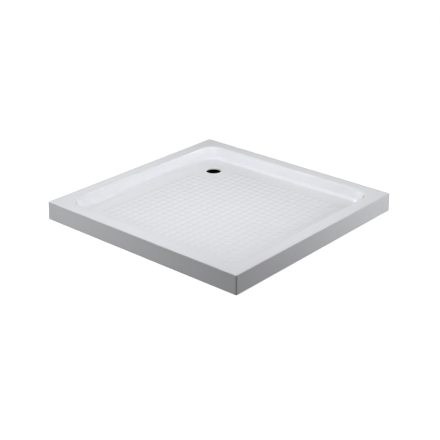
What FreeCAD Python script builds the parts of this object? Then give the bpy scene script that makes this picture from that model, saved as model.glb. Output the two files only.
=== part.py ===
import FreeCAD, Part
import math
import os

# Square shower tray in thermoformed sanitary acrylic, 900 x 900 x 70 mm, with a corner outlet.
#
# The acrylic skin is one deep-drawn sheet: a flat rim, a skirt that drops to the floor all round,
# a basin with a slip-resistant field of raised pads, and a plain outlet hole in one corner.
# Glass-fibre laminate stiffens it from behind, a chipboard base board carries the basin floor on
# rubber pads, and four timber battens carry the rim on eight screw-adjusted levelling feet.
#
# Frame: origin at the centre of the underside, +Z up. +X is right and +Y is back, and the outlet
# is in the back right corner. All sizes are in millimetres.

# --- tray outline -------------------------------------------------------------------------------
side = 900.0                # outside width and depth, at the floor
height = 70.0               # floor to rim
skirt_draft = 1.3           # how much each side leans in, floor to rim
corner_radius = 5.0         # upright outside corners
rim_edge_radius = 4.0       # top outside edge

# --- basin --------------------------------------------------------------------------------------
rim_width = 55.0            # outside edge to basin wall, at the rim
mouth_radius = 60.0         # basin corners, seen from above
mouth_rounding = 8.0        # edge between rim and basin wall
wall_draft = 6.0            # how much the basin wall leans in, rim to basin floor
cove_radius = 15.0          # basin wall into basin floor
floor_fall = 4.0            # fall of the basin floor towards the outlet, in mm per metre

# --- slip-resistant field -----------------------------------------------------------------------
pad_pitch = 30.0
pad_width = 26.0            # of a pad's foot
pad_relief = 1.5            # height above the basin floor
pad_draft = 7.0             # how much each side of a pad leans in
pad_root = 0.4              # how far a pad goes down into the skin
pad_corner_radius = 5.0
pad_margin = 60.0           # smooth strip between the field and the cove, at least
outlet_clear_radius = 85.0  # no pad is centred nearer to the outlet than this

# --- outlet -------------------------------------------------------------------------------------
outlet_diameter = 60.0
outlet_from_edge = 175.0    # outlet centre to each of the two nearest outside edges
outlet_lip_radius = 2.5

# --- skin, backing and base board ---------------------------------------------------------------
skin = 4.0                  # acrylic sheet
laminate = 2.5              # glass-fibre laminate
laminate_trim = 6.0         # the laminate stops this far above the floor
board_thickness = 9.0
board_edge_gap = 14.0       # board edge to the start of the cove
board_corner_radius = 25.0
board_notch = 75.0          # the board is cut away this far from the outlet centre
board_notch_radius = 20.0
support_pad_height = 7.5    # base board to floor, under the middle of the tray
support_pad_diameter = 60.0
support_pad_pitch = 210.0

# --- battens under the rim ----------------------------------------------------------------------
batten_height = 18.0
batten_skin_gap = 3.5       # batten to the laminate inside the skirt, at the floor
batten_wall_gap = 2.5       # batten to the laminate behind the basin wall, at the rim
batten_arris = 1.5

# --- levelling feet -----------------------------------------------------------------------------
thread_diameter = 10.0      # M10 studs
running_clearance = 0.05    # radial, stud in plate, stud in lock nut and stud in foot pad
stud_top_gap = 1.0          # stud end to the laminate above it, foot wound right in
plate_length = 34.0         # along the batten
plate_side_gap = 1.0        # plate to each side of its batten
plate_thickness = 2.5
plate_barrel_diameter = 14.0
plate_barrel_height = 12.0
barrel_clearance = 0.25     # radial, barrel in batten
screw_edge = 4.5            # screw centre to the two nearest edges of the plate
screw_diameter = 4.0
screw_length = 14.0         # under the head
screw_point = 3.0
screw_head_diameter = 7.5
screw_head_height = 2.2
screw_hole_clearance = 0.25
pilot_clearance = 0.05      # radial, screw in batten
nut_across_flats = 16.0
nut_height = 5.0
foot_diameter = 40.0
foot_skin_gap = 1.5         # foot pad to the laminate inside the skirt, at least
foot_flange_height = 4.0
foot_hub_diameter = 20.0
foot_height = 15.0          # floor to the top of the hub
sole_diameter = 34.0
sole_thickness = 1.5
sole_proud = 0.5            # the rubber stands out of the foot pad by this much
sole_clearance = 0.1        # radial, sole in the foot pad's recess
spigot_diameter = 8.0
spigot_length = 10.0
spigot_bead = 0.6           # the snap bead on the spigot stands out by this much
spigot_bead_width = 2.0
collar_across_flats = 13.0
collar_height = 5.0

# --- worked out from the above ------------------------------------------------------------------
basin_floor = support_pad_height + board_thickness + laminate + skin
basin_depth = height - basin_floor
mouth_half = side / 2 - rim_width
flat_half = mouth_half - wall_draft - cove_radius
outlet = FreeCAD.Vector(side / 2 - outlet_from_edge, side / 2 - outlet_from_edge, 0)
backing = skin + laminate
batten_top = height - backing
batten_bottom = batten_top - batten_height
plate_bottom = batten_bottom - plate_thickness
nut_bottom = plate_bottom - nut_height
batten_width = rim_width - 2 * backing - batten_skin_gap - batten_wall_gap
batten_line = side / 2 - backing - batten_skin_gap - batten_width / 2
plate_width = batten_width - 2 * plate_side_gap
foot_line = min(batten_line, side / 2 - backing - foot_skin_gap - foot_diameter / 2)

foot_places = {
    "front_left": (-foot_line, -foot_line),
    "front_middle": (0, -foot_line),
    "front_right": (foot_line, -foot_line),
    "right_middle": (foot_line, 0),
    "back_right": (foot_line, foot_line),
    "back_middle": (0, foot_line),
    "back_left": (-foot_line, foot_line),
    "left_middle": (-foot_line, 0),
}

beyond = 5.0                # how far a cutting tool runs past the face that it cuts


# --- outlines and simple solids -----------------------------------------------------------------
def point(x, y, z):
    return FreeCAD.Vector(x, y, z)


def square_block(half_low, half_high, z_low, z_high, radius=0):
    """A block with four flat leaning sides, centred on the Z axis, its upright corners rounded."""
    block = Part.makeWedge(-half_low, z_low, -half_low, -half_high, -half_high,
                           half_low, z_high, half_low, half_high, half_high)
    block.rotate(point(0, 0, 0), point(1, 0, 0), 90)
    if radius <= 0:
        return block
    upright = [edge for edge in block.Edges if edge.BoundBox.ZLength > (z_high - z_low) / 2]
    return block.makeFillet(radius, upright)


def slab(z_low, z_high):
    """A plate that reaches past the tray on every side."""
    return Part.makeBox(2 * side, 2 * side, z_high - z_low, point(-side, -side, z_low))


def disc(diameter, z_low, z_high, x=0, y=0):
    return Part.makeCylinder(diameter / 2, z_high - z_low, point(x, y, z_low))


def hexagon(across_flats, z_low, z_high):
    """A hexagonal prism on the Z axis, its corners eased at both ends."""
    across_corners = across_flats / math.cos(math.radians(30))
    corner = point(across_corners / 2, 0, z_low)
    corners = [FreeCAD.Rotation(point(0, 0, 1), 60 * i).multVec(corner) for i in range(7)]
    prism = Part.Face(Part.makePolygon(corners)).extrude(point(0, 0, z_high - z_low))
    envelope = disc(across_corners, z_low, z_high)
    inwards = (across_corners - across_flats) / 2
    upwards = inwards * math.tan(math.radians(30))
    return prism.common(envelope.makeChamfer(upwards, inwards, ring_edges(envelope)))


def ring_edges(solid):
    """The edges that close on themselves, such as those at the two ends of a cylinder."""
    return [edge for edge in solid.Edges if edge.isClosed()]


def turned(profile):
    """A solid of revolution about the Z axis, from (radius, height) points."""
    points = [point(radius, 0, z) for radius, z in profile]
    face = Part.Face(Part.makePolygon(points + points[:1]))
    return face.revolve(point(0, 0, 0), point(0, 0, 1), 360)


def tilted(shape):
    """The shape leaned with the basin floor, which falls towards the outlet."""
    leaned = shape.copy()
    leaned.rotate(point(0, 0, basin_floor), point(-1, 1, 0), math.degrees(math.atan(floor_fall / 1000)))
    return leaned


def edges_at(solid, z, within):
    """The edges that lie level at height z, no further out than the given half width."""
    found = []
    for edge in solid.Edges:
        box = edge.BoundBox
        level = abs(box.ZMin - z) < 0.01 and abs(box.ZMax - z) < 0.01
        if level and max(-box.XMin, box.XMax, -box.YMin, box.YMax) < within:
            found.append(edge)
    return found


# --- skin and laminate --------------------------------------------------------------------------
def outside_half(z):
    return side / 2 - skirt_draft * z / height


def basin_half(z):
    return mouth_half - wall_draft * (height - z) / basin_depth


def basin_space(offset):
    """The inside of the basin, grown by an offset on every side but the top."""
    low = basin_floor - offset - beyond
    high = height + beyond
    walls = square_block(basin_half(low) + offset, basin_half(high) + offset, low, high,
                         mouth_radius + offset)
    space = walls.cut(tilted(slab(low - 2 * beyond, basin_floor - offset)))
    bottom = min(space.Faces, key=lambda face: face.CenterOfMass.z)
    return space.makeFillet(cove_radius + offset, bottom.Edges)


def space_under(offset, bottom):
    """The hollow under the tray, behind a layer of the given thickness."""
    top = height - offset
    block = square_block(outside_half(bottom) - offset, outside_half(top) - offset, bottom, top,
                         corner_radius - offset)
    hollow = block.cut(basin_space(offset))
    return hollow.makeFillet(mouth_rounding - offset, edges_at(hollow, top, mouth_half + offset + 1))


def outlet_hole():
    return disc(outlet_diameter, 0, height, outlet.x, outlet.y)


def pad_centres():
    """Centres of the raised pads: a square field round the tray's centre, open round the outlet."""
    each_way = int((flat_half - pad_margin - pad_width / 2) // pad_pitch)
    steps = [pad_pitch * i for i in range(-each_way, each_way + 1)]
    return [
        (x, y)
        for x in steps
        for y in steps
        if math.hypot(x - outlet.x, y - outlet.y) > outlet_clear_radius
    ]


def raised_pads():
    """The pads of the slip-resistant field, rooted a little way into the skin."""
    root_half = pad_width / 2 + pad_draft * pad_root / pad_relief
    pad = square_block(root_half, pad_width / 2 - pad_draft,
                       basin_floor - pad_root, basin_floor + pad_relief, pad_corner_radius)
    return [tilted(pad.translated(point(x, y, 0))) for x, y in pad_centres()]


def tray_shell():
    body = square_block(outside_half(0), outside_half(height), 0, height, corner_radius)
    body = body.makeFillet(rim_edge_radius, edges_at(body, height, side))
    body = body.cut(basin_space(0))
    body = body.makeFillet(mouth_rounding, edges_at(body, height, mouth_half + 1))
    body = body.cut(space_under(skin, 0))
    body = body.cut(outlet_hole())
    lip = max(ring_edges(body), key=lambda edge: edge.BoundBox.ZMax)
    body = body.makeFillet(outlet_lip_radius, [lip])
    return body.multiFuse(raised_pads())


def glass_fibre_backing():
    layer = space_under(skin, laminate_trim).cut(space_under(backing, laminate_trim))
    return layer.cut(outlet_hole())


# --- base board and its rubber pads -------------------------------------------------------------
def base_board():
    board_top = basin_floor - backing
    half = flat_half - board_edge_gap
    board = square_block(half, half, board_top - board_thickness, board_top, board_corner_radius)
    notch_corner = point(outlet.x - board_notch, outlet.y - board_notch, board_top - board_thickness)
    notch = Part.makeBox(side, side, board_thickness, notch_corner)
    inner_corner = [
        edge for edge in notch.Edges if edge.BoundBox.XMax < outlet.x and edge.BoundBox.YMax < outlet.y
    ]
    return tilted(board.cut(notch.makeFillet(board_notch_radius, inner_corner)))


def support_pads():
    above_board = tilted(slab(support_pad_height, height))
    reach = flat_half - board_edge_gap - support_pad_diameter / 2
    spans = int(2 * reach // support_pad_pitch)
    steps = [support_pad_pitch * (i - spans / 2) for i in range(spans + 1)]
    kept_clear = board_notch + support_pad_diameter / 2
    pads = [
        disc(support_pad_diameter, 0, height / 2, x, y).cut(above_board)
        for x in steps
        for y in steps
        if x < outlet.x - kept_clear or y < outlet.y - kept_clear
    ]
    return Part.makeCompound(pads)


# --- rim battens --------------------------------------------------------------------------------
def along_x(y):
    """Whether a foot stands under the front or back batten, which run the full width, or a side one."""
    return abs(y) > foot_line / 2


def plate_place(x, y):
    """Centre and size of the plate of the foot at (x, y), which sits in the middle of its batten's width."""
    if along_x(y):
        return x, math.copysign(batten_line, y), plate_length, plate_width
    return math.copysign(batten_line, x), y, plate_width, plate_length


def screw_places(x, y):
    plate_x, plate_y, size_x, size_y = plate_place(x, y)
    out_x = size_x / 2 - screw_edge
    out_y = size_y / 2 - screw_edge
    return [(plate_x + i * out_x, plate_y + j * out_y) for i in (-1, 1) for j in (-1, 1)]


def batten(x_low, x_high, y_low, y_high):
    """One timber batten, bored for the feet that stand under it."""
    bar = Part.makeBox(x_high - x_low, y_high - y_low, batten_height, point(x_low, y_low, batten_bottom))
    long_way = point(1, 0, 0) if x_high - x_low > y_high - y_low else point(0, 1, 0)
    long_edges = [edge for edge in bar.Edges if abs(edge.tangentAt(edge.FirstParameter).dot(long_way)) > 0.9]
    bar = bar.makeFillet(batten_arris, [edge for edge in long_edges if edge.CenterOfMass.z < batten_top - 1])
    barrel_hole = plate_barrel_diameter + 2 * barrel_clearance
    for x, y in foot_places.values():
        if x_low < x < x_high and y_low < y < y_high:
            holes = [disc(barrel_hole, batten_bottom - beyond, batten_top + beyond, x, y)]
            for screw_x, screw_y in screw_places(x, y):
                pilot = screw_diameter + 2 * pilot_clearance
                depth = screw_length - plate_thickness
                holes.append(disc(pilot, batten_bottom - beyond, batten_bottom + depth, screw_x, screw_y))
            bar = bar.cut(holes)
    return bar


def battens():
    outer = batten_line + batten_width / 2
    inner = batten_line - batten_width / 2
    return {
        "batten_front": batten(-outer, outer, -outer, -inner),
        "batten_back": batten(-outer, outer, inner, outer),
        "batten_left": batten(-outer, -inner, -inner, inner),
        "batten_right": batten(inner, outer, -inner, inner),
    }


# --- levelling feet -----------------------------------------------------------------------------
def foot_plate(x, y):
    """Steel plate with a threaded barrel that stands up into the batten."""
    plate_x, plate_y, size_x, size_y = plate_place(x, y)
    plate = Part.makeBox(size_x, size_y, plate_thickness,
                         point(plate_x - size_x / 2, plate_y - size_y / 2, plate_bottom))
    upright = [edge for edge in plate.Edges if edge.BoundBox.ZLength > plate_thickness / 2]
    plate = plate.makeFillet(plate_thickness, upright)
    barrel = disc(plate_barrel_diameter, batten_bottom, batten_bottom + plate_barrel_height, x, y)
    bore = disc(thread_diameter + 2 * running_clearance, 0, height, x, y)
    screw_hole = screw_diameter + 2 * screw_hole_clearance
    holes = [disc(screw_hole, 0, height, screw_x, screw_y) for screw_x, screw_y in screw_places(x, y)]
    return plate.fuse(barrel).removeSplitter().cut([bore] + holes)


def plate_screw():
    """Pan-head wood screw, upright, its head under the plate."""
    radius = screw_diameter / 2
    head = screw_head_diameter / 2
    tip = plate_bottom + screw_length
    dome = 0.35 * screw_head_height
    return turned([
        (0, plate_bottom - screw_head_height), (0.6 * head, plate_bottom - screw_head_height),
        (head, plate_bottom - screw_head_height + dome), (head, plate_bottom), (radius, plate_bottom),
        (radius, tip - screw_point), (0, tip),
    ])


def lock_nut():
    nut = hexagon(nut_across_flats, nut_bottom, plate_bottom)
    return nut.cut(disc(thread_diameter + 2 * running_clearance, 0, height))


def bead_profile(clearance):
    """Radius and height of the spigot with its snap bead, from the foot of the spigot upwards."""
    radius = spigot_diameter / 2 + clearance
    bead = radius + spigot_bead
    foot = foot_height - spigot_length
    bead_low = foot + spigot_bead_width / 2
    bead_high = bead_low + spigot_bead_width
    return [
        (radius, foot - clearance),
        (radius, bead_low - clearance),
        (bead, bead_low + spigot_bead - clearance),
        (bead, bead_high - spigot_bead + clearance),
        (radius, bead_high + clearance),
    ]


def stud():
    """Threaded stud with a hexagon collar and, below it, the spigot that turns in the foot pad."""
    collar_top = foot_height + collar_height
    rod = disc(thread_diameter, collar_top, batten_top - stud_top_gap)
    rod_end = [edge for edge in ring_edges(rod) if edge.BoundBox.ZMin > collar_top]
    rod = rod.makeChamfer(thread_diameter / 10, rod_end)
    collar = hexagon(collar_across_flats, foot_height, collar_top)
    beads = bead_profile(0)
    spigot = turned([(0, beads[0][1])] + beads + [(spigot_diameter / 2, foot_height), (0, foot_height)])
    return rod.fuse([collar, spigot])


def foot_pad():
    """Moulded foot: a broad flange, a tapered hub and a blind socket for the stud."""
    rim = foot_diameter / 2
    hub = foot_hub_diameter / 2
    recess = sole_diameter / 2 + sole_clearance
    body = turned([
        (0, sole_thickness), (recess, sole_thickness), (recess, sole_proud), (rim, sole_proud),
        (rim, foot_flange_height - 1), (rim - 1, foot_flange_height), (hub + 3, foot_flange_height + 1),
        (hub, foot_flange_height + 4), (hub, foot_height - 1), (hub - 1, foot_height), (0, foot_height),
    ])
    beads = bead_profile(running_clearance)
    mouth = spigot_diameter / 2 + running_clearance
    socket = turned([(0, beads[0][1])] + beads + [(mouth, foot_height + beyond), (0, foot_height + beyond)])
    return body.cut(socket)


def foot_sole():
    return disc(sole_diameter, 0, sole_thickness)


def at_each_foot(shape):
    return {name: shape.translated(point(x, y, 0)) for name, (x, y) in foot_places.items()}


# --- every piece of the tray --------------------------------------------------------------------
def pieces():
    found = {
        "tray_shell": tray_shell(),
        "glass_fibre_backing": glass_fibre_backing(),
        "base_board": base_board(),
        "support_pads": support_pads(),
        "foot_plates": Part.makeCompound([foot_plate(x, y) for x, y in foot_places.values()]),
        "lock_nuts": Part.makeCompound(list(at_each_foot(lock_nut()).values())),
    }
    screw = plate_screw()
    found["plate_screws"] = Part.makeCompound([
        screw.translated(point(screw_x, screw_y, 0))
        for x, y in foot_places.values()
        for screw_x, screw_y in screw_places(x, y)
    ])
    found.update(battens())
    for kind, shape in (("stud", stud()), ("foot_pad", foot_pad()), ("foot_sole", foot_sole())):
        for place, copy in at_each_foot(shape).items():
            found[f"{kind}_{place}"] = copy
    return found


os.makedirs("parts", exist_ok=True)
for node, shape in pieces().items():
    shape.exportStep(f"parts/{node}.step")
    print(f"{node}: {len(shape.Solids)} solid(s), valid {shape.isValid()}, {shape.Volume / 1000:.1f} cm3")
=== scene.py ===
"""Square acrylic shower tray with a corner outlet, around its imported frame.

Sizes are in metres, in the frame's own axes: +Z up, the outlet in the back right corner (+X, +Y).
"""

import math

import bmesh
import bpy
from mathutils import Euler, Matrix, Vector


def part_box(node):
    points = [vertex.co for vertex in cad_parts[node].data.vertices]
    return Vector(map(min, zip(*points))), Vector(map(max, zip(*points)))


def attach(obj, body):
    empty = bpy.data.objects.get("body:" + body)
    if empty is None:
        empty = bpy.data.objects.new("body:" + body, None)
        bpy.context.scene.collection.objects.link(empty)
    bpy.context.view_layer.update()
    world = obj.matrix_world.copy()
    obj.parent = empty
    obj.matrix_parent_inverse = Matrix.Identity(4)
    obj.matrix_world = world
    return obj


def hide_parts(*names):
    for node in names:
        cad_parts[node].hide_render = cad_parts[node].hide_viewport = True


bl_info = {
    "name": "Shower tray",
    "version": (1, 0, 0),
    "blender": (4, 5, 0),
    "location": "View3D > Sidebar > Shower tray",
    "description": "Models the looks of a square acrylic shower tray around its frame",
    "category": "Add Mesh",
}

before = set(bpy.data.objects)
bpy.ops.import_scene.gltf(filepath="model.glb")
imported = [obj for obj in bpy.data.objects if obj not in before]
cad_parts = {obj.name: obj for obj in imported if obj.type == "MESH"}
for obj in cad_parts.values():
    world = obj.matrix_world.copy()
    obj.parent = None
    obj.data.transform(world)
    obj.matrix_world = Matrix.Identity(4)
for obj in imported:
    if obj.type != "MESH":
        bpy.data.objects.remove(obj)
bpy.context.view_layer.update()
LOW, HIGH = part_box("tray_shell")
SIDE = HIGH.x - LOW.x
HEIGHT = HIGH.z - LOW.z
MM = 0.001
SAME_PLACE = 0.02 * MM              # points or heights closer than this count as one
SMOOTH_ANGLE = math.radians(35)     # faces that meet at more than this keep a sharp edge
LEVEL = 0.99                        # a face is level, but for the floor's fall, above this normal z


def linear(hex_colour):
    """An sRGB hex colour as linear red, green, blue and alpha."""
    channels = [int(hex_colour[i:i + 2], 16) / 255 for i in (1, 3, 5)]
    return [c / 12.92 if c <= 0.04045 else ((c + 0.055) / 1.055) ** 2.4 for c in channels] + [1.0]


def length(name, default, description):
    """A length property, in metres."""
    return bpy.props.FloatProperty(
        name=name, default=default, min=0.0, unit="LENGTH", description=description
    )


def colour(name, hex_colour, description):
    """A colour property with alpha, its default given as sRGB hex."""
    return bpy.props.FloatVectorProperty(
        name=name, default=linear(hex_colour), size=4, min=0.0, max=1.0, subtype="COLOR",
        description=description
    )


def angle(name, degrees, description):
    """An angle property, its default given in degrees."""
    return bpy.props.FloatProperty(
        name=name, default=math.radians(degrees), subtype="ANGLE", description=description
    )


class TraySizes(bpy.types.PropertyGroup):
    """Sizes of the acrylic skin."""

    skirt_draft: length("Skirt draft", 1.3 * MM, "How far each side leans in, floor to rim")
    corner_radius: length("Corner radius", 5 * MM, "Rounding of the upright outside corners")
    rim_edge_radius: length("Rim edge radius", 4 * MM, "Rounding of the top outside edge")
    rim_width: length("Rim width", 55 * MM, "Outside edge to basin wall")
    mouth_radius: length("Mouth radius", 60 * MM, "Basin corners seen from above")
    mouth_rounding: length("Mouth rounding", 8 * MM, "Rounding between rim and basin wall")
    wall_draft: length("Wall draft", 6 * MM, "How far the basin wall leans in, rim to basin floor")
    cove_radius: length("Cove radius", 15 * MM, "Rounding between basin wall and basin floor")
    basin_floor: length("Basin floor", 23 * MM, "Height of the basin floor at its middle")
    floor_fall: bpy.props.FloatProperty(
        name="Floor fall", default=0.004, description="Fall of the basin floor towards the outlet"
    )
    skin: length("Skin", 4 * MM, "Thickness of the acrylic sheet")
    outlet_from_edge: length("Outlet from edge", 175 * MM, "Outlet centre to the two nearest edges")
    outlet_radius: length("Outlet radius", 30 * MM, "Radius of the outlet hole")
    outlet_lip: length("Outlet lip", 2.5 * MM, "Rounding of the outlet's upper edge")
    outlet_clear: length("Outlet clear", 85 * MM, "Radius round the outlet without raised pads")
    pad_pitch: length("Pad pitch", 30 * MM, "Spacing of the raised pads")
    pad_width: length("Pad width", 26 * MM, "Width of a raised pad at its foot")
    pad_top: length("Pad top", 8 * MM, "Width of the flat on a raised pad")
    pad_relief: length("Pad relief", 1.5 * MM, "Height of a raised pad")
    pad_corner: length("Pad corner", 6.5 * MM, "Rounding of a raised pad's corners seen from above")
    pads_across: bpy.props.IntProperty(
        name="Pads across", default=21, description="Pads in a full row"
    )


class TrayFinishes(bpy.types.PropertyGroup):
    """Main colours of the finishes."""

    acrylic: colour("Acrylic", "#F2F3F7", "White of the acrylic sheet")
    laminate: colour("Laminate", "#D2CFB9", "Cured resin between the glass strands")
    chip: colour("Chipboard", "#B08A5A", "Middle tone of the wood chips")
    softwood: colour("Softwood", "#D9B684", "Pale wood between the growth rings")
    zinc: colour("Zinc", "#C3C7CB", "Plated steel")
    rubber: colour("Rubber", "#1E1E1F", "Black rubber")
    nylon: colour("Nylon", "#26272A", "Moulded black nylon")


class TrayStage(bpy.types.PropertyGroup):
    """The camera's place and view."""

    camera_turn: angle("Camera turn", 49.53, "Turn to the right of +Y")
    camera_tilt: angle("Camera tilt", 24.28, "Tilt below the horizon")
    camera_roll: angle("Camera roll", 0.385, "Roll about the view axis")
    camera_place: bpy.props.FloatVectorProperty(
        name="Camera place", default=(-2.744, -2.337, 1.603), subtype="XYZ", unit="LENGTH",
        description="Where the camera stands"
    )
    lens: bpy.props.FloatProperty(
        name="Lens", default=86.69, description="Focal length on a 36 mm sensor, in mm"
    )


def sizes():
    return bpy.context.scene.tray_sizes


def finishes():
    return bpy.context.scene.tray_finishes


# --- modelling helpers --------------------------------------------------------------------------
def deselect():
    """Leave edit mode and deselect every object."""
    if bpy.context.mode != "OBJECT":
        bpy.ops.object.mode_set(mode="OBJECT")
    bpy.ops.object.select_all(action="DESELECT")


def take_up(piece):
    """Make a piece the only selected and the active object."""
    deselect()
    piece.select_set(True)
    bpy.context.view_layer.objects.active = piece


def start_plane(name, half, z):
    """A new square plane centred on the tray, in edit mode."""
    deselect()
    bpy.ops.mesh.primitive_plane_add(size=2 * half, location=(0, 0, z))
    piece = bpy.context.object
    piece.name = name
    piece.data.name = name
    bpy.ops.object.transform_apply(location=True, rotation=True, scale=True)
    bpy.ops.object.mode_set(mode="EDIT")
    return piece


def pick(kind, test):
    """Select only those vertices, edges or faces of the mesh in edit mode that pass a test."""
    bpy.ops.mesh.select_mode(type=kind)
    bpy.ops.mesh.select_all(action="DESELECT")
    mesh = bmesh.from_edit_mesh(bpy.context.edit_object.data)
    for item in {"VERT": mesh.verts, "EDGE": mesh.edges, "FACE": mesh.faces}[kind]:
        if test(item):
            item.select_set(True)
    mesh.select_flush_mode()
    bmesh.update_edit_mesh(bpy.context.edit_object.data)


def middle(item):
    """The middle of an edge or a face."""
    return sum((vert.co for vert in item.verts), Vector()) / len(item.verts)


def reach(point):
    """How far out from the tray's centre a point is, measured to its sides."""
    return max(abs(point.x), abs(point.y))


def at_height(item, z):
    """Whether an edge or a face lies level at a height."""
    return all(abs(vert.co.z - z) < SAME_PLACE for vert in item.verts)


def extrude_down(depth, scale, z_end):
    """Extrude the selection down and scale its new end about the Z axis."""
    bpy.ops.mesh.extrude_region_move(TRANSFORM_OT_translate={"value": (0, 0, -depth)})
    bpy.ops.transform.resize(value=(scale, scale, 1), center_override=(0, 0, z_end))


def round_edges(offset, segments):
    """Bevel the selected edges. The offset is measured square to each edge."""
    bpy.ops.mesh.bevel(offset=offset, offset_type="OFFSET", segments=segments, profile=0.5,
                       affect="EDGES", clamp_overlap=True)


def bevel_offset(radius, turn):
    """The bevel offset that gives a radius on an edge whose faces turn by an angle."""
    return radius * math.tan(turn / 2)


def finish_piece(piece, body, slot_name, material, *nodes):
    """Smooth shading that keeps flat faces flat, the material, and a place in the frame."""
    take_up(piece)
    bpy.ops.object.shade_smooth_by_angle(angle=SMOOTH_ANGLE)
    weighted = piece.modifiers.new("Weighted normals", "WEIGHTED_NORMAL")
    weighted.keep_sharp = True
    bpy.ops.object.modifier_apply(modifier=weighted.name)
    piece.data.materials.clear()
    piece.data.materials.append(material)
    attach(piece, body)
    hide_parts(*nodes)


# --- materials ----------------------------------------------------------------------------------
def add_node(tree, kind, inputs=None, **settings):
    """Add a node with its settings. Each input is a value, or another node's output to link."""
    node = tree.nodes.new(kind)
    for name, value in settings.items():
        setattr(node, name, value)
    for name, value in (inputs or {}).items():
        if isinstance(value, bpy.types.NodeSocket):
            tree.links.new(value, node.inputs[name])
        else:
            node.inputs[name].default_value = value
    return node


# sockets of a Mix node that mixes colours
MIX_A, MIX_B, MIX_RESULT = 6, 7, 2


def start_material(name):
    """A new material's node tree, and the Object coordinates that its patterns read."""
    material = bpy.data.materials.new(name)
    material.use_nodes = True
    tree = material.node_tree
    tree.nodes.clear()
    place = add_node(tree, "ShaderNodeTexCoord").outputs["Object"]
    return material, tree, place


def close_material(tree, **sockets):
    """The Principled shader and the output. Sockets are given with _ for a space."""
    inputs = {name.replace("_", " "): value for name, value in sockets.items()}
    shader = add_node(tree, "ShaderNodeBsdfPrincipled", inputs)
    add_node(tree, "ShaderNodeOutputMaterial", {"Surface": shader.outputs["BSDF"]})


def shade(rgba, factor):
    """A colour made darker or lighter."""
    return [min(1.0, channel * factor) for channel in rgba[:3]] + [1.0]


def white_acrylic():
    """Cast acrylic (PMMA) sheet, white right through, drawn hot over a mould: a clear gloss, very
    slightly rippled where the sheet stretched, and dulled a little in patches by handling."""
    material, tree, place = start_material("thermoformed_white_acrylic")
    tint = list(finishes().acrylic)
    drift_size, handling_size, ripple_size = 120 * MM, 35 * MM, 9 * MM
    ripple_height = 0.03 * MM
    # the pigment drifts by a percent or two over a hand's width
    drift = add_node(tree, "ShaderNodeTexNoise", {"Vector": place, "Scale": 1 / drift_size,
                                                  "Detail": 2.0})
    base = add_node(tree, "ShaderNodeMix", {"Factor": drift.outputs["Fac"],
                                            MIX_A: shade(tint, 0.985),
                                            MIX_B: shade(tint, 1.01)}, data_type="RGBA")
    handling = add_node(tree, "ShaderNodeTexNoise", {"Vector": place, "Scale": 1 / handling_size,
                                                     "Detail": 4.0, "Roughness": 0.6})
    gloss = add_node(tree, "ShaderNodeMapRange", {"Value": handling.outputs["Fac"], "From Min": 0.3,
                                                  "From Max": 0.7, "To Min": 0.09, "To Max": 0.15})
    # the ripple of the drawn sheet is hundredths of a millimetre high
    ripple = add_node(tree, "ShaderNodeTexNoise", {"Vector": place, "Scale": 1 / ripple_size,
                                                   "Detail": 1.0})
    bump = add_node(tree, "ShaderNodeBump", {"Height": ripple.outputs["Fac"], "Strength": 0.5,
                                             "Distance": ripple_height})
    close_material(tree, Base_Color=base.outputs[MIX_RESULT], Roughness=gloss.outputs["Result"],
                   Normal=bump.outputs["Normal"], IOR=1.49)
    return material


def glass_fibre_laminate():
    """Chopped glass strands sprayed with polyester resin and rolled: a rough, yellowish skin in
    which single strands catch the light."""
    material, tree, place = start_material("sprayed_glass_fibre_laminate")
    resin = list(finishes().laminate)
    strand_length, strand_width, strand_relief = 30 * MM, 1.4 * MM, 0.4 * MM
    pool_size = 60 * MM
    # the strands lie every way: three stretched noises, each turned and tipped by its own angles
    height = None
    for turn, tip in ((0.3, 0.0), (1.35, 0.6), (2.4, -0.5)):
        laid = add_node(tree, "ShaderNodeMapping", {
            "Vector": place, "Rotation": (tip, tip, turn),
            "Scale": (1 / strand_length, 1 / strand_width, 1 / strand_width)})
        strand = add_node(tree, "ShaderNodeTexNoise", {"Vector": laid.outputs["Vector"],
                                                       "Scale": 1.0, "Detail": 1.0,
                                                       "Distortion": 0.4})
        crest = add_node(tree, "ShaderNodeMapRange", {"Value": strand.outputs["Fac"],
                                                      "From Min": 0.52, "From Max": 0.72})
        if height is None:
            height = crest.outputs["Result"]
        else:
            height = add_node(tree, "ShaderNodeMath", {0: height, 1: crest.outputs["Result"]},
                              operation="MAXIMUM").outputs["Value"]
    thickness = add_node(tree, "ShaderNodeTexNoise", {"Vector": place, "Scale": 1 / pool_size,
                                                      "Detail": 3.0})
    pooled = add_node(tree, "ShaderNodeMix", {"Factor": thickness.outputs["Fac"],
                                              MIX_A: shade(resin, 0.72), MIX_B: shade(resin, 1.15)},
                      data_type="RGBA")
    strands = add_node(tree, "ShaderNodeMix", {"Factor": height, MIX_A: pooled.outputs[MIX_RESULT],
                                               MIX_B: shade(resin, 1.6)}, data_type="RGBA")
    gloss = add_node(tree, "ShaderNodeMapRange", {"Value": height, "To Min": 0.32, "To Max": 0.6})
    bump = add_node(tree, "ShaderNodeBump", {"Height": height, "Strength": 0.8,
                                             "Distance": strand_relief})
    close_material(tree, Base_Color=strands.outputs[MIX_RESULT], Roughness=gloss.outputs["Result"],
                   Normal=bump.outputs["Normal"], IOR=1.55)
    return material


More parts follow.
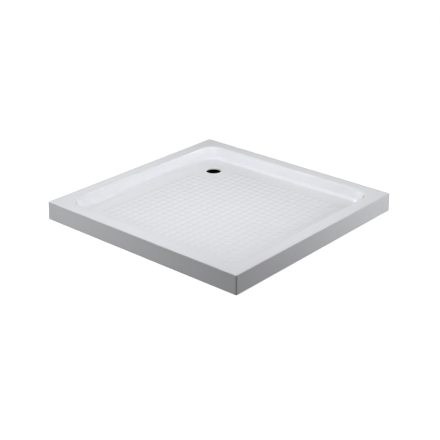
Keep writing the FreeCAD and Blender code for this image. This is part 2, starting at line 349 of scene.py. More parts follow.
def raw_chipboard():
    """Particleboard, pressed and left raw: flat chips of several tones, dark where they end."""
    material, tree, place = start_material("raw_pressed_chipboard")
    middle_tone = list(finishes().chip)
    chip_size, dust_size, chip_relief = 4 * MM, 1.5 * MM, 0.15 * MM
    # the chips lie flat and mostly one way: 4 mm long, 2.5 mm wide and 1.6 mm thick
    flat = add_node(tree, "ShaderNodeMapping", {"Vector": place, "Scale": (1.0, 1.6, 2.5)})
    chips = add_node(tree, "ShaderNodeTexVoronoi", {"Vector": flat.outputs["Vector"],
                                                    "Scale": 1 / chip_size})
    dust = add_node(tree, "ShaderNodeTexVoronoi", {"Vector": place, "Scale": 1 / dust_size})
    tone = add_node(tree, "ShaderNodeSeparateColor", {"Color": chips.outputs["Color"]})
    fine_tone = add_node(tree, "ShaderNodeSeparateColor", {"Color": dust.outputs["Color"]})
    both = add_node(tree, "ShaderNodeMath", {0: tone.outputs["Red"], 1: fine_tone.outputs["Green"],
                                             2: 0.5}, operation="MULTIPLY_ADD")
    base = add_node(tree, "ShaderNodeMix", {"Factor": tone.outputs["Red"],
                                            MIX_A: shade(middle_tone, 0.6),
                                            MIX_B: shade(middle_tone, 1.25)}, data_type="RGBA")
    fine = add_node(tree, "ShaderNodeMix", {"Factor": fine_tone.outputs["Green"],
                                            MIX_A: base.outputs[MIX_RESULT],
                                            MIX_B: shade(middle_tone, 0.75)}, data_type="RGBA")
    bump = add_node(tree, "ShaderNodeBump", {"Height": both.outputs["Value"], "Strength": 0.5,
                                             "Distance": chip_relief})
    close_material(tree, Base_Color=fine.outputs[MIX_RESULT], Roughness=0.85,
                   Normal=bump.outputs["Normal"])
    return material


def planed_softwood(name, along_y):
    """Planed spruce: pale early wood, narrow brown late wood along the length, and a fine fibre."""
    material, tree, place = start_material(name)
    pale = list(finishes().softwood)
    late_wood = linear("#A9743F")
    # the bands of growth rings lie 2 pi / 20 of this apart, which is 19 mm, as on a flat-sawn face
    band_size = 60 * MM
    wander_size, wander_reach = 25 * MM, 9 * MM
    fibre_length, fibre_width, fibre_relief = 20 * MM, 0.5 * MM, 0.1 * MM
    lengthwise = 0.06           # how fast the rings wander along the length, as a share of across
    off_square = 0.06           # how far the log lay off the saw, in radians
    turned = add_node(tree, "ShaderNodeMapping", {
        "Vector": place, "Rotation": (off_square, 0.0, math.pi / 2 if along_y else 0.0)})
    slow = add_node(tree, "ShaderNodeMapping", {"Vector": turned.outputs["Vector"],
                                                "Scale": (lengthwise, 1.0, 1.0)})
    wander = add_node(tree, "ShaderNodeTexNoise", {"Vector": slow.outputs["Vector"],
                                                   "Scale": 1 / wander_size, "Detail": 2.0})
    bent = add_node(tree, "ShaderNodeVectorMath", {0: wander.outputs["Color"],
                                                   "Scale": wander_reach}, operation="SCALE")
    off = add_node(tree, "ShaderNodeVectorMath", {0: slow.outputs["Vector"],
                                                  1: bent.outputs["Vector"]}, operation="ADD")
    rings = add_node(tree, "ShaderNodeTexWave", {"Vector": off.outputs["Vector"],
                                                 "Scale": 1 / band_size},
                     wave_type="BANDS", bands_direction="Y")
    late = add_node(tree, "ShaderNodeMapRange", {"Value": rings.outputs["Fac"], "From Min": 0.55,
                                                 "From Max": 1.0, "To Max": 0.75})
    fibre_way = add_node(tree, "ShaderNodeMapping", {
        "Vector": turned.outputs["Vector"],
        "Scale": (1 / fibre_length, 1 / fibre_width, 1 / fibre_width)})
    fibre = add_node(tree, "ShaderNodeTexNoise", {"Vector": fibre_way.outputs["Vector"],
                                                  "Scale": 1.0, "Detail": 3.0})
    ringed = add_node(tree, "ShaderNodeMix", {"Factor": late.outputs["Result"], MIX_A: pale,
                                              MIX_B: late_wood}, data_type="RGBA")
    fibrous = add_node(tree, "ShaderNodeMix", {"Factor": fibre.outputs["Fac"],
                                               MIX_A: shade(pale, 0.7),
                                               MIX_B: ringed.outputs[MIX_RESULT]}, data_type="RGBA")
    bump = add_node(tree, "ShaderNodeBump", {"Height": fibre.outputs["Fac"], "Strength": 0.3,
                                             "Distance": fibre_relief})
    close_material(tree, Base_Color=fibrous.outputs[MIX_RESULT], Roughness=0.62,
                   Normal=bump.outputs["Normal"])
    return material


def zinc_plate():
    """Steel, bright zinc plated and blue passivated: a soft, clouded shine with a faint cast."""
    material, tree, place = start_material("bright_zinc_plated_steel")
    zinc = list(finishes().zinc)
    cloud_size, grain_size, grain_relief = 6 * MM, 0.6 * MM, 0.02 * MM
    cloud = add_node(tree, "ShaderNodeTexNoise", {"Vector": place, "Scale": 1 / cloud_size,
                                                  "Detail": 4.0})
    cast = add_node(tree, "ShaderNodeMix", {"Factor": cloud.outputs["Fac"],
                                            MIX_A: shade(zinc, 0.86),
                                            MIX_B: linear("#D3D4CF")}, data_type="RGBA")
    gloss = add_node(tree, "ShaderNodeMapRange", {"Value": cloud.outputs["Fac"], "From Min": 0.3,
                                                  "From Max": 0.7, "To Min": 0.26, "To Max": 0.42})
    grain = add_node(tree, "ShaderNodeTexNoise", {"Vector": place, "Scale": 1 / grain_size,
                                                  "Detail": 2.0})
    bump = add_node(tree, "ShaderNodeBump", {"Height": grain.outputs["Fac"], "Strength": 0.15,
                                             "Distance": grain_relief})
    close_material(tree, Base_Color=cast.outputs[MIX_RESULT], Roughness=gloss.outputs["Result"],
                   Normal=bump.outputs["Normal"], Metallic=1.0)
    return material


def matt_rubber():
    """Black rubber, moulded and lightly dusted: matt, fine-grained, paler where it has rubbed."""
    material, tree, place = start_material("matt_moulded_rubber")
    black = list(finishes().rubber)
    dust_size, grain_size, grain_relief = 8 * MM, 0.8 * MM, 0.06 * MM
    dust = add_node(tree, "ShaderNodeTexNoise", {"Vector": place, "Scale": 1 / dust_size,
                                                 "Detail": 5.0, "Roughness": 0.65})
    rubbed = add_node(tree, "ShaderNodeMapRange", {"Value": dust.outputs["Fac"], "From Min": 0.45,
                                                   "From Max": 0.75})
    base = add_node(tree, "ShaderNodeMix", {"Factor": rubbed.outputs["Result"], MIX_A: black,
                                            MIX_B: linear("#3A3937")}, data_type="RGBA")
    grain = add_node(tree, "ShaderNodeTexNoise", {"Vector": place, "Scale": 1 / grain_size,
                                                  "Detail": 2.0})
    bump = add_node(tree, "ShaderNodeBump", {"Height": grain.outputs["Fac"], "Strength": 0.4,
                                             "Distance": grain_relief})
    close_material(tree, Base_Color=base.outputs[MIX_RESULT], Roughness=0.82,
                   Normal=bump.outputs["Normal"])
    return material


def moulded_nylon():
    """Glass-filled nylon from a spark-eroded mould: dark grey-black with a fine satin grain."""
    material, tree, place = start_material("moulded_black_nylon")
    black = list(finishes().nylon)
    flow_size, grain_size, grain_relief = 14 * MM, 0.9 * MM, 0.05 * MM
    flow = add_node(tree, "ShaderNodeTexNoise", {"Vector": place, "Scale": 1 / flow_size,
                                                 "Detail": 3.0})
    base = add_node(tree, "ShaderNodeMix", {"Factor": flow.outputs["Fac"], MIX_A: shade(black, 0.8),
                                            MIX_B: shade(black, 1.35)}, data_type="RGBA")
    grain = add_node(tree, "ShaderNodeTexVoronoi", {"Vector": place, "Scale": 1 / grain_size})
    bump = add_node(tree, "ShaderNodeBump", {"Height": grain.outputs["Distance"], "Strength": 0.3,
                                             "Distance": grain_relief})
    close_material(tree, Base_Color=base.outputs[MIX_RESULT], Roughness=0.48,
                   Normal=bump.outputs["Normal"], IOR=1.53)
    return material


def dress(material, *nodes):
    """Give CAD nodes their material."""
    for name in nodes:
        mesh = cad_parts[name].data
        mesh.materials.clear()
        mesh.materials.append(material)


# --- acrylic skin -------------------------------------------------------------------------------
# how many faces each rounding is made of
CORNER_SEGMENTS, RIM_EDGE_SEGMENTS, MOUTH_SEGMENTS, COVE_SEGMENTS = 16, 5, 8, 10
OUTLET_SEGMENTS, OUTLET_LIP_SEGMENTS, PAD_CORNER_SEGMENTS = 64, 6, 2
# how much of a pad's slope and of its relief each ring of its low dome takes, from the foot up
DOME = ((0.35, 0.48), (0.33, 0.33), (0.32, 0.19))


def basin_half(z):
    """Half the width of the basin at a height, before its edges are rounded."""
    s = sizes()
    return SIDE / 2 - s.rim_width - s.wall_draft * (HEIGHT - z) / (HEIGHT - s.basin_floor)


def outlet_centre():
    """The middle of the outlet hole, before the floor is tipped."""
    place = SIDE / 2 - sizes().outlet_from_edge
    return Vector((place, place, sizes().basin_floor))


def above_floor(point):
    """Height of a point above the sloping basin floor."""
    s = sizes()
    return point.z - s.basin_floor + s.floor_fall * (point.x + point.y) / math.sqrt(2)


def upright(edge, within, beyond):
    """Whether an edge climbs a wall, between two distances from the tray's centre."""
    climbs = abs(edge.verts[0].co.z - edge.verts[1].co.z) > (HEIGHT - sizes().basin_floor) / 2
    return climbs and beyond < reach(middle(edge)) < within


def middle_of_rim():
    """A reach that lies on the rim, between the skirt's edges and the basin's."""
    return SIDE / 2 - sizes().rim_width / 2


def skin_surface():
    """The outside of the sheet, from the skirt's foot over the rim and down to the basin floor."""
    s = sizes()
    rim_half = SIDE / 2 - s.skirt_draft
    piece = start_plane("acrylic_skin", rim_half, HEIGHT)
    bpy.ops.mesh.inset(thickness=rim_half - basin_half(HEIGHT))
    narrowing = basin_half(s.basin_floor) / basin_half(HEIGHT)
    extrude_down(HEIGHT - s.basin_floor, narrowing, s.basin_floor)
    pick("EDGE", lambda edge: edge.is_boundary)
    extrude_down(HEIGHT, SIDE / 2 / rim_half, 0)
    pick("EDGE", lambda edge: upright(edge, SIDE, middle_of_rim()))
    round_edges(s.corner_radius, CORNER_SEGMENTS)
    pick("EDGE", lambda edge: upright(edge, middle_of_rim(), 0))
    round_edges(s.mouth_radius, CORNER_SEGMENTS)
    turn_outwards()
    return piece


def turn_outwards():
    """Make the faces of the surface point to its outside, which is up on the rim."""
    bpy.ops.mesh.select_all(action="SELECT")
    bpy.ops.mesh.normals_make_consistent(inside=False)
    mesh = bmesh.from_edit_mesh(bpy.context.edit_object.data)
    rim = max((face for face in mesh.faces if at_height(face, HEIGHT)),
              key=lambda face: face.calc_area())
    if rim.normal.z < 0:
        bpy.ops.mesh.flip_normals()


def round_the_skin():
    """Round the rim's two edges and the foot of the basin wall."""
    s = sizes()
    wall_turn = math.pi / 2 - math.atan(s.wall_draft / (HEIGHT - s.basin_floor))

    def rim_edge(edge):
        return at_height(edge, HEIGHT) and any(face.normal.z < LEVEL for face in edge.link_faces)

    pick("EDGE", lambda edge: rim_edge(edge) and reach(middle(edge)) > middle_of_rim())
    round_edges(bevel_offset(s.rim_edge_radius, math.pi / 2), RIM_EDGE_SEGMENTS)
    pick("EDGE", lambda edge: rim_edge(edge) and reach(middle(edge)) < middle_of_rim())
    round_edges(bevel_offset(s.mouth_rounding, wall_turn), MOUTH_SEGMENTS)
    pick("EDGE", lambda edge: at_height(edge, s.basin_floor) and len(edge.link_faces) == 2)
    round_edges(bevel_offset(s.cove_radius, wall_turn), COVE_SEGMENTS)


def lay_the_floor():
    """Put a grid with the outlet hole where the basin floor is one plain face."""
    s = sizes()
    field = s.pads_across * s.pad_pitch
    outlet = outlet_centre()
    pick("FACE", lambda face: at_height(face, s.basin_floor))
    bpy.ops.mesh.delete(type="ONLY_FACE")
    bpy.ops.mesh.select_all(action="DESELECT")
    bpy.ops.mesh.primitive_grid_add(x_subdivisions=s.pads_across, y_subdivisions=s.pads_across,
                                    size=field, location=(0, 0, s.basin_floor))
    pick("EDGE", lambda edge: at_height(edge, s.basin_floor) and edge.is_boundary)
    bpy.ops.mesh.fill()
    round_outlet = s.outlet_radius + s.pad_pitch / 2
    pick("FACE", lambda face: at_height(face, s.basin_floor) and len(face.verts) == 4
         and reach(middle(face) - outlet) < round_outlet and reach(middle(face)) < field / 2)
    bpy.ops.mesh.delete(type="FACE")
    bpy.ops.mesh.select_all(action="DESELECT")
    bpy.ops.mesh.primitive_circle_add(vertices=OUTLET_SEGMENTS, radius=s.outlet_radius,
                                      location=outlet)
    bpy.ops.mesh.extrude_edges_move()
    wider = (s.outlet_radius + 2 * s.outlet_lip) / s.outlet_radius
    bpy.ops.transform.resize(value=(wider, wider, 1), center_override=outlet)
    pick("EDGE", lambda edge: edge.is_boundary and at_height(edge, s.basin_floor)
         and (middle(edge) - outlet).length > s.outlet_radius + s.outlet_lip)
    bpy.ops.mesh.fill()
    turn_outwards()


def tip_the_floor():
    """Lean the basin floor and its cove towards the outlet."""
    s = sizes()
    up = Vector((0, 0, 1))
    axis = Vector((-1, 1, 0)).normalized()
    turn_about_axis = Matrix((up.cross(axis), up, axis)).transposed()
    above_cove = s.basin_floor + 1.2 * s.cove_radius
    pick("VERT", lambda vert: vert.co.z < above_cove and reach(vert.co) < basin_half(HEIGHT))
    bpy.ops.transform.rotate(value=-math.atan(s.floor_fall), orient_axis="Z",
                             orient_matrix=turn_about_axis, center_override=(0, 0, s.basin_floor))


def thicken(piece):
    """Give the sheet its thickness, inwards, and a level lower edge."""
    s = sizes()
    take_up(piece)
    wall = piece.modifiers.new("Sheet", "SOLIDIFY")
    wall.thickness = s.skin
    wall.offset = -1
    wall.use_even_offset = True
    wall.use_quality_normals = True
    bpy.ops.object.modifier_apply(modifier=wall.name)
    bpy.ops.object.mode_set(mode="EDIT")
    pick("VERT", lambda vert: vert.co.z < s.skin / 4)
    bpy.ops.transform.resize(value=(1, 1, 0), center_override=(0, 0, 0))
    bpy.ops.mesh.select_all(action="SELECT")
    bpy.ops.mesh.remove_doubles(threshold=SAME_PLACE)


def round_the_outlet():
    """Round the upper edge of the outlet hole. The floor's slope has moved its ring a little."""
    s = sizes()
    outlet = outlet_centre()
    ring_give = 0.05 * MM

    def upper_edge(edge):
        from_axis = [(vert.co - outlet).xy.length for vert in edge.verts]
        on_ring = all(abs(distance - s.outlet_radius) < ring_give for distance in from_axis)
        return on_ring and all(above_floor(vert.co) > -s.skin / 2 for vert in edge.verts)

    pick("EDGE", upper_edge)
    round_edges(bevel_offset(s.outlet_lip, math.pi / 2), OUTLET_LIP_SEGMENTS)


def raise_the_pads():
    """Raise a low square dome with rounded corners in each cell of the field, but not round the
    outlet."""
    s = sizes()
    outlet = outlet_centre()
    field = s.pads_across * s.pad_pitch
    slope = (s.pad_width - s.pad_top) / 2
    first_rise = DOME[0][1]
    cell_give = 0.02 * s.pad_pitch
    height_give = 0.05          # as a share of a pad's relief, as the heights below are

    def cell(face):
        place = middle(face)
        lengths = [edge.calc_length() for edge in face.edges]
        square = len(lengths) == 4 and all(abs(side - s.pad_pitch) < cell_give for side in lengths)
        level = face.normal.z > LEVEL and abs(above_floor(place)) < s.skin / 2
        away = (place - outlet).xy.length > s.outlet_clear
        return square and level and away and reach(place) < field / 2

    def corner(edge):
        low, high = sorted(above_floor(vert.co) / s.pad_relief for vert in edge.verts)
        climbs = abs(low) < height_give and abs(high - first_rise) < height_give
        return climbs and reach(middle(edge)) < field / 2

    def first_level(face):
        height = above_floor(middle(face)) / s.pad_relief
        level = face.normal.z > LEVEL and abs(height - first_rise) < height_give
        return level and reach(middle(face)) < field / 2

    def inset_each(thickness, depth=0.0):
        bpy.ops.mesh.inset(thickness=thickness, depth=depth, use_individual=True)

    pick("FACE", cell)
    inset_each((s.pad_pitch - s.pad_width) / 2)
    inset_each(slope * DOME[0][0], s.pad_relief * first_rise)
    pick("EDGE", corner)
    # these edges lie at 45 degrees to both sides of a pad, and a bevel measures square to the edge
    round_edges(s.pad_corner * math.sqrt(0.5), PAD_CORNER_SEGMENTS)
    pick("FACE", first_level)
    for share, rise in DOME[1:]:
        inset_each(slope * share, s.pad_relief * rise)


class TRAY_OT_acrylic_skin(bpy.types.Operator):
    """Model the drawn acrylic sheet: rim, skirt, basin, raised pads and outlet hole"""

    bl_idname = "tray.acrylic_skin"
    bl_label = "Acrylic skin"

    def execute(self, context):
        piece = skin_surface()
        round_the_skin()
        lay_the_floor()
        tip_the_floor()
        thicken(piece)
        round_the_outlet()
        raise_the_pads()
        finish_piece(piece, "tray", "white_acrylic", white_acrylic(), "tray_shell")
        return {"FINISHED"}


class TRAY_OT_backing(bpy.types.Operator):
    """Finish the glass-fibre laminate and the base board behind the skin"""

    bl_idname = "tray.backing"
    bl_label = "Laminate and base board"

    def execute(self, context):
        dress(glass_fibre_laminate(), "glass_fibre_backing")
        dress(raw_chipboard(), "base_board")
        return {"FINISHED"}


class TRAY_OT_battens(bpy.types.Operator):
    """Finish the four rim battens, each with its grain along its length"""

    bl_idname = "tray.battens"
    bl_label = "Rim battens"

    def execute(self, context):
        dress(planed_softwood("planed_spruce_along_x", False), "batten_front", "batten_back")
        dress(planed_softwood("planed_spruce_along_y", True), "batten_left", "batten_right")
        return {"FINISHED"}


# --- levelling feet -----------------------------------------------------------------------------
FOOT_PAD = "foot_pad_"
FOOT_PLACES = [name.removeprefix(FOOT_PAD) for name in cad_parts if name.startswith(FOOT_PAD)]
FOOT_GRID = 422 * MM            # the feet stand in a square grid of this pitch about the middle
THREAD_RADIUS = 5 * MM          # M10 coarse, over the crests
THREAD_PITCH = 1.5 * MM
THREAD_DEPTH = 0.92 * MM
THREAD_SIDES = 24
STUD_TOP = 62.5 * MM
STUD_CHAMFER = 1 * MM
COLLAR_LOW, COLLAR_HIGH = 15 * MM, 20 * MM
COLLAR_FLATS = 13 * MM
COLLAR_EASING = 0.4 * MM
JOIN_DEPTH = 0.2 * MM           # how far the rod and the spigot reach into the collar to join it
# radius and height, in millimetres, of the spigot with its snap bead, from its lower end up
SPIGOT = ((4.0, 5.0), (4.0, 6.0), (4.6, 6.6), (4.6, 7.4), (4.0, 8.0), (4.0, 15.2))


def foot_axis(place):
    """Where a foot stands, from its name, such as front_left or left_middle."""
    return Vector((FOOT_GRID * (("right" in place) - ("left" in place)),
                   FOOT_GRID * (("back" in place) - ("front" in place)), 0))


def thread(low, high):
    """A V thread on the Z axis, longer than asked at both ends: a zigzag of one pitch is screwed up
    round the axis."""
    spare = 2                   # turns beyond each end
    bpy.ops.mesh.primitive_plane_add(size=MM)
    rod = bpy.context.object
    bpy.ops.object.mode_set(mode="EDIT")
    bpy.ops.mesh.select_mode(type="VERT")
    bpy.ops.mesh.merge(type="CENTER")
    bpy.ops.transform.translate(value=(THREAD_RADIUS - THREAD_DEPTH, 0, low - spare * THREAD_PITCH))
    for way in (1, -1):
        bpy.ops.mesh.extrude_vertices_move(
            TRANSFORM_OT_translate={"value": (way * THREAD_DEPTH, 0, THREAD_PITCH / 2)})
    bpy.ops.object.mode_set(mode="OBJECT")
    screw = rod.modifiers.new("Thread", "SCREW")
    screw.screw_offset = THREAD_PITCH
    screw.iterations = math.ceil((high - low) / THREAD_PITCH) + 2 * spare
    screw.steps = screw.render_steps = THREAD_SIDES
    bpy.ops.object.modifier_apply(modifier=screw.name)
    bpy.ops.object.mode_set(mode="EDIT")
    bpy.ops.mesh.select_all(action="SELECT")
    bpy.ops.mesh.remove_doubles(threshold=SAME_PLACE)
    bpy.ops.mesh.fill_holes(sides=0)
    bpy.ops.mesh.select_all(action="SELECT")
    bpy.ops.mesh.normals_make_consistent(inside=False)
    bpy.ops.object.mode_set(mode="OBJECT")
    return rod


def rod_blank(low, high):
    """The plain rod with a chamfered end that bounds a thread, a little wider than its crests."""
    margin = 0.3 * MM
    bpy.ops.mesh.primitive_cylinder_add(vertices=2 * THREAD_SIDES, radius=THREAD_RADIUS + margin,
                                        depth=high - low, location=(0, 0, (low + high) / 2))
    blank = bpy.context.object
    bpy.ops.object.transform_apply(location=True)
    bpy.ops.object.mode_set(mode="EDIT")
    pick("EDGE", lambda edge: at_height(edge, high))
    round_edges(STUD_CHAMFER + margin, 1)
    bpy.ops.object.mode_set(mode="OBJECT")
    return blank


def collar():
    """The hexagon that a spanner turns, its edges eased."""
    bpy.ops.mesh.primitive_cylinder_add(
        vertices=6, radius=COLLAR_FLATS / math.sqrt(3), depth=COLLAR_HIGH - COLLAR_LOW,
        location=(0, 0, (COLLAR_LOW + COLLAR_HIGH) / 2), rotation=(0, 0, math.pi / 6))
    hexagon = bpy.context.object
    bpy.ops.object.transform_apply(location=True, rotation=True)
    bpy.ops.object.mode_set(mode="EDIT")
    pick("EDGE", lambda edge: at_height(edge, COLLAR_LOW) or at_height(edge, COLLAR_HIGH))
    round_edges(COLLAR_EASING, 1)
    bpy.ops.object.mode_set(mode="OBJECT")
    return hexagon


def spigot():
    """The turned end that snaps into the foot pad."""
    radius, height = SPIGOT[0]
    bpy.ops.mesh.primitive_circle_add(vertices=THREAD_SIDES, radius=radius * MM,
                                      fill_type="NGON", location=(0, 0, height * MM))
    turned = bpy.context.object
    bpy.ops.object.transform_apply(location=True)
    bpy.ops.object.mode_set(mode="EDIT")
    bpy.ops.mesh.select_all(action="SELECT")
    for next_radius, next_height in SPIGOT[1:]:
        rise = (next_height - height) * MM
        bpy.ops.mesh.extrude_region_move(TRANSFORM_OT_translate={"value": (0, 0, rise)})
        bpy.ops.transform.resize(value=(next_radius / radius, next_radius / radius, 1))
        radius, height = next_radius, next_height
    bpy.ops.mesh.select_all(action="SELECT")
    bpy.ops.mesh.normals_make_consistent(inside=False)
    bpy.ops.object.mode_set(mode="OBJECT")
    return turned


def combine(piece, other, operation):
    """Join a second object to a piece, or keep what they share, and take the second one away."""
    step = piece.modifiers.new("Combine", "BOOLEAN")
    step.operation = operation
    step.solver = "EXACT"
    step.object = other
    take_up(piece)
    bpy.ops.object.modifier_apply(modifier=step.name)
    bpy.data.objects.remove(other)
    deselect()


def threaded_stud():
    """A whole stud on the Z axis: the threaded rod, cut to length, with its collar and spigot."""
    deselect()
    ends = (COLLAR_HIGH - JOIN_DEPTH, STUD_TOP)
    stud = thread(*ends)
    combine(stud, rod_blank(*ends), "INTERSECT")
    combine(stud, collar(), "UNION")
    combine(stud, spigot(), "UNION")
    return stud


class TRAY_OT_feet(bpy.types.Operator):
    """Finish the levelling feet: studs, foot pads and their rubber soles"""

    bl_idname = "tray.feet"
    bl_label = "Levelling feet"

    def execute(self, context):
        dress(moulded_nylon(), *[FOOT_PAD + place for place in FOOT_PLACES])
        dress(matt_rubber(), "support_pads", *[f"foot_sole_{place}" for place in FOOT_PLACES])
        zinc = zinc_plate()
        dress(zinc, "foot_plates", "plate_screws", "lock_nuts")
        first = threaded_stud()
        for place in FOOT_PLACES:
            take_up(first)
            bpy.ops.object.duplicate()
            stud = context.object
            stud.name = f"threaded_stud_{place}"
            stud.location = foot_axis(place)
            bpy.ops.object.transform_apply(location=True)
            finish_piece(stud, f"screw_{place}", "zinc_plated_steel", zinc, f"stud_{place}")
        bpy.data.objects.remove(first)
        return {"FINISHED"}


# --- stage --------------------------------------------------------------------------------------
WHITE = (1.0, 1.0, 1.0, 1.0)
SENSOR_WIDTH = 36               # in mm
NEAREST, FARTHEST = 0.01, 50    # what the camera sees, in metres
FLOOR_SIZE = 12                 # in metres
FLOOR_GAP = 0.05 * MM           # the floor lies this far under the tray's foot
# each lamp: its place and the point it faces, both as metres to the camera's right, away from it
# and up from the tray's foot, then its width and height in metres, its power in watts, the spread
# of its light in degrees and whether the gloss mirrors it
LAMPS = {
    "over_near_corner": ((0.0, -0.25, 1.2), (0.0, 0.1, 0.0), 0.4, 0.4, 6.57, 180, True),
    "over_back": ((0.0, 1.5, 2.0), (0.0, 0.0, 0.0), 1.5, 1.5, 2.52, 180, True),
    "left_high": ((-1.6, 0.0, 1.8), (0.0, 0.0, 0.0), 1.0, 1.0, 11.45, 180, True),
    "left_front": ((-1.5, -0.8, 0.5), (-0.3, 0.0, 0.0), 0.6, 0.6, 4.94, 180, False),
    "right_side": ((1.6, -0.3, 0.5), (0.3, 0.0, 0.0), 0.8, 0.6, 8.44, 180, False),
    "camera_side": ((-0.15, -3.2, 2.0), (0.0, 0.2, 0.0), 0.9, 0.3, 5.4, 180, True),
    "left_wall": ((1.0, -1.0, 0.45), (-0.3, 0.3, 0.05), 0.9, 0.08, 0.161, 14, False),
    "right_wall": ((-1.0, -1.0, 0.45), (0.3, 0.3, 0.05), 0.9, 0.08, 0.086, 14, False),
    "underside": ((0.0, 0.0, -1.5), (0.0, 0.0, 0.0), 1.2, 1.2, 5.0, 24, False),
}


def seen_by_eye(tree):
    """1 for what the camera sees, straight, in a gloss or through glass, and 0 for what only gives
    light."""
    path = add_node(tree, "ShaderNodeLightPath")
    seen = path.outputs["Is Camera Ray"]
    for ray in ("Is Glossy Ray", "Is Transmission Ray"):
        seen = add_node(tree, "ShaderNodeMath", {0: seen, 1: path.outputs[ray]},
                        operation="MAXIMUM").outputs["Value"]
    return seen


def studio_floor():
    """Pale matt floor that fades into the white background and keeps a soft shadow. It is painted
    black where the tray stands on it, a painted shade for the dark seen through the outlet hole,
    and open from below."""
    material, tree, place = start_material("pale_studio_floor")
    tray_foot = SIDE / 2 - 5 * MM   # the painted shade begins behind the skirt's lower edge
    near_glow, far_glow = 0.86, 1.0
    paleness = 0.6
    apart = add_node(tree, "ShaderNodeSeparateXYZ", {"Vector": place})
    across = add_node(tree, "ShaderNodeMath", {0: apart.outputs["X"]}, operation="ABSOLUTE")
    along = add_node(tree, "ShaderNodeMath", {0: apart.outputs["Y"]}, operation="ABSOLUTE")
    out = add_node(tree, "ShaderNodeMath", {0: across.outputs["Value"], 1: along.outputs["Value"]},
                   operation="MAXIMUM")
    # painted shade: under the tray the floor gets no glow and a black colour
    outside_painted_shade = add_node(tree, "ShaderNodeMath", {0: out.outputs["Value"], 1: tray_foot},
                           operation="GREATER_THAN").outputs["Value"]
    # the glow hides where the floor ends, and is weaker near the tray so that the shadow shows
    fade = add_node(tree, "ShaderNodeMapRange", {"Value": out.outputs["Value"],
                                                 "From Min": SIDE / 2, "From Max": 2 * SIDE,
                                                 "To Min": near_glow, "To Max": far_glow})
    glow = add_node(tree, "ShaderNodeMath", {0: outside_painted_shade, 1: fade.outputs["Result"]},
                    operation="MULTIPLY")
    # the floor's colour: pale beside the tray, painted black under it as painted shade
    pale = add_node(tree, "ShaderNodeMath", {0: outside_painted_shade, 1: paleness}, operation="MULTIPLY")
    white = add_node(tree, "ShaderNodeEmission", {"Color": WHITE,
                                                  "Strength": glow.outputs["Value"]})
    matt = add_node(tree, "ShaderNodeBsdfDiffuse", {"Color": pale.outputs["Value"]})
    lit = add_node(tree, "ShaderNodeAddShader", {0: white.outputs["Emission"],
                                                 1: matt.outputs["BSDF"]})
    open_air = add_node(tree, "ShaderNodeBsdfTransparent")
    below = add_node(tree, "ShaderNodeNewGeometry").outputs["Backfacing"]
    shown = add_node(tree, "ShaderNodeMath", {0: seen_by_eye(tree), 1: below},
                     operation="GREATER_THAN")
    surface = add_node(tree, "ShaderNodeMixShader", {0: shown.outputs["Value"],
                                                     1: open_air.outputs["BSDF"],
                                                     2: lit.outputs["Shader"]})
    add_node(tree, "ShaderNodeOutputMaterial", {"Surface": surface.outputs["Shader"]})
    return material


def studio_world():
    """White to the eye and in a gloss. It gives no light, which is left to the lamps."""
    world = bpy.data.worlds.new("studio")
    world.use_nodes = True
    tree = world.node_tree
    tree.nodes.clear()
    white = add_node(tree, "ShaderNodeBackground", {"Color": WHITE, "Strength": seen_by_eye(tree)})
    add_node(tree, "ShaderNodeOutputWorld", {"Surface": white.outputs["Background"]})
    return world


def set_camera(stage):
    """The camera at the place, turn, tilt and roll that the stage gives."""
    level = Euler((math.pi / 2 - stage.camera_tilt, 0, -stage.camera_turn)).to_matrix()
    rolled = level @ Matrix.Rotation(stage.camera_roll, 3, "Z")
    bpy.ops.object.camera_add(location=stage.camera_place, rotation=rolled.to_euler())
    camera = bpy.context.object
    camera.name = "camera"
    camera.data.sensor_width = SENSOR_WIDTH
    camera.data.lens = stage.lens
    camera.data.clip_start = NEAREST
    camera.data.clip_end = FARTHEST
    return camera


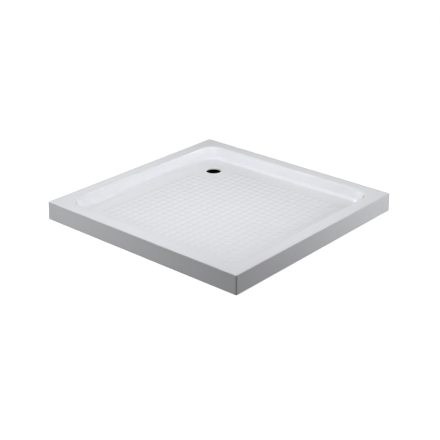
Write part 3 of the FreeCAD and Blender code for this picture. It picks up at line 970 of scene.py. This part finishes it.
def hang_lamps(stage):
    """The lamps, placed as seen from the camera."""
    from_camera = Matrix.Rotation(-stage.camera_turn, 3, "Z")
    for name, (place, aim, width, height, power, spread, mirrored) in LAMPS.items():
        stand, facing = from_camera @ Vector(place), from_camera @ Vector(aim)
        turn = (facing - stand).to_track_quat("-Z", "Y").to_euler()
        bpy.ops.object.light_add(type="AREA", location=stand, rotation=turn)
        lamp = bpy.context.object
        lamp.name = f"lamp_{name}"
        lamp.data.shape = "RECTANGLE"
        lamp.data.size = width
        lamp.data.size_y = height
        lamp.data.energy = power
        lamp.data.spread = math.radians(spread)
        lamp.visible_glossy = mirrored
        lamp.visible_camera = False


class TRAY_OT_stage(bpy.types.Operator):
    """Set up the camera, the floor, the lamps and the white background"""

    bl_idname = "tray.stage"
    bl_label = "Stage"

    def execute(self, context):
        scene = context.scene
        scene.view_settings.view_transform = "Standard"
        scene.world = studio_world()
        deselect()
        scene.camera = set_camera(scene.tray_stage)
        hang_lamps(scene.tray_stage)
        deselect()
        bpy.ops.mesh.primitive_plane_add(size=FLOOR_SIZE, location=(0, 0, -FLOOR_GAP))
        floor = context.object
        floor.name = "studio_floor"
        floor.data.materials.append(studio_floor())
        return {"FINISHED"}


class TRAY_PT_panel(bpy.types.Panel):
    """Sizes, colours and steps of the tray"""

    bl_idname = "TRAY_PT_panel"
    bl_label = "Shower tray"
    bl_space_type = "VIEW_3D"
    bl_region_type = "UI"
    bl_category = "Shower tray"

    def draw(self, context):
        layout, scene = self.layout, context.scene
        for group in (scene.tray_sizes, scene.tray_finishes, scene.tray_stage):
            box = layout.box()
            for name in group.__annotations__:
                box.prop(group, name)
        for operator in OPERATORS:
            layout.operator(operator.bl_idname)


OPERATORS = (TRAY_OT_stage, TRAY_OT_acrylic_skin, TRAY_OT_backing, TRAY_OT_battens, TRAY_OT_feet)
CLASSES = (TraySizes, TrayFinishes, TrayStage, *OPERATORS, TRAY_PT_panel)


def register():
    for cls in CLASSES:
        bpy.utils.register_class(cls)
    bpy.types.Scene.tray_sizes = bpy.props.PointerProperty(type=TraySizes)
    bpy.types.Scene.tray_finishes = bpy.props.PointerProperty(type=TrayFinishes)
    bpy.types.Scene.tray_stage = bpy.props.PointerProperty(type=TrayStage)


def unregister():
    del bpy.types.Scene.tray_stage
    del bpy.types.Scene.tray_finishes
    del bpy.types.Scene.tray_sizes
    for cls in reversed(CLASSES):
        bpy.utils.unregister_class(cls)


def main():
    register()
    bpy.ops.tray.stage()
    bpy.ops.tray.acrylic_skin()
    bpy.ops.tray.backing()
    bpy.ops.tray.battens()
    bpy.ops.tray.feet()


if __name__ == "__main__":
    main()
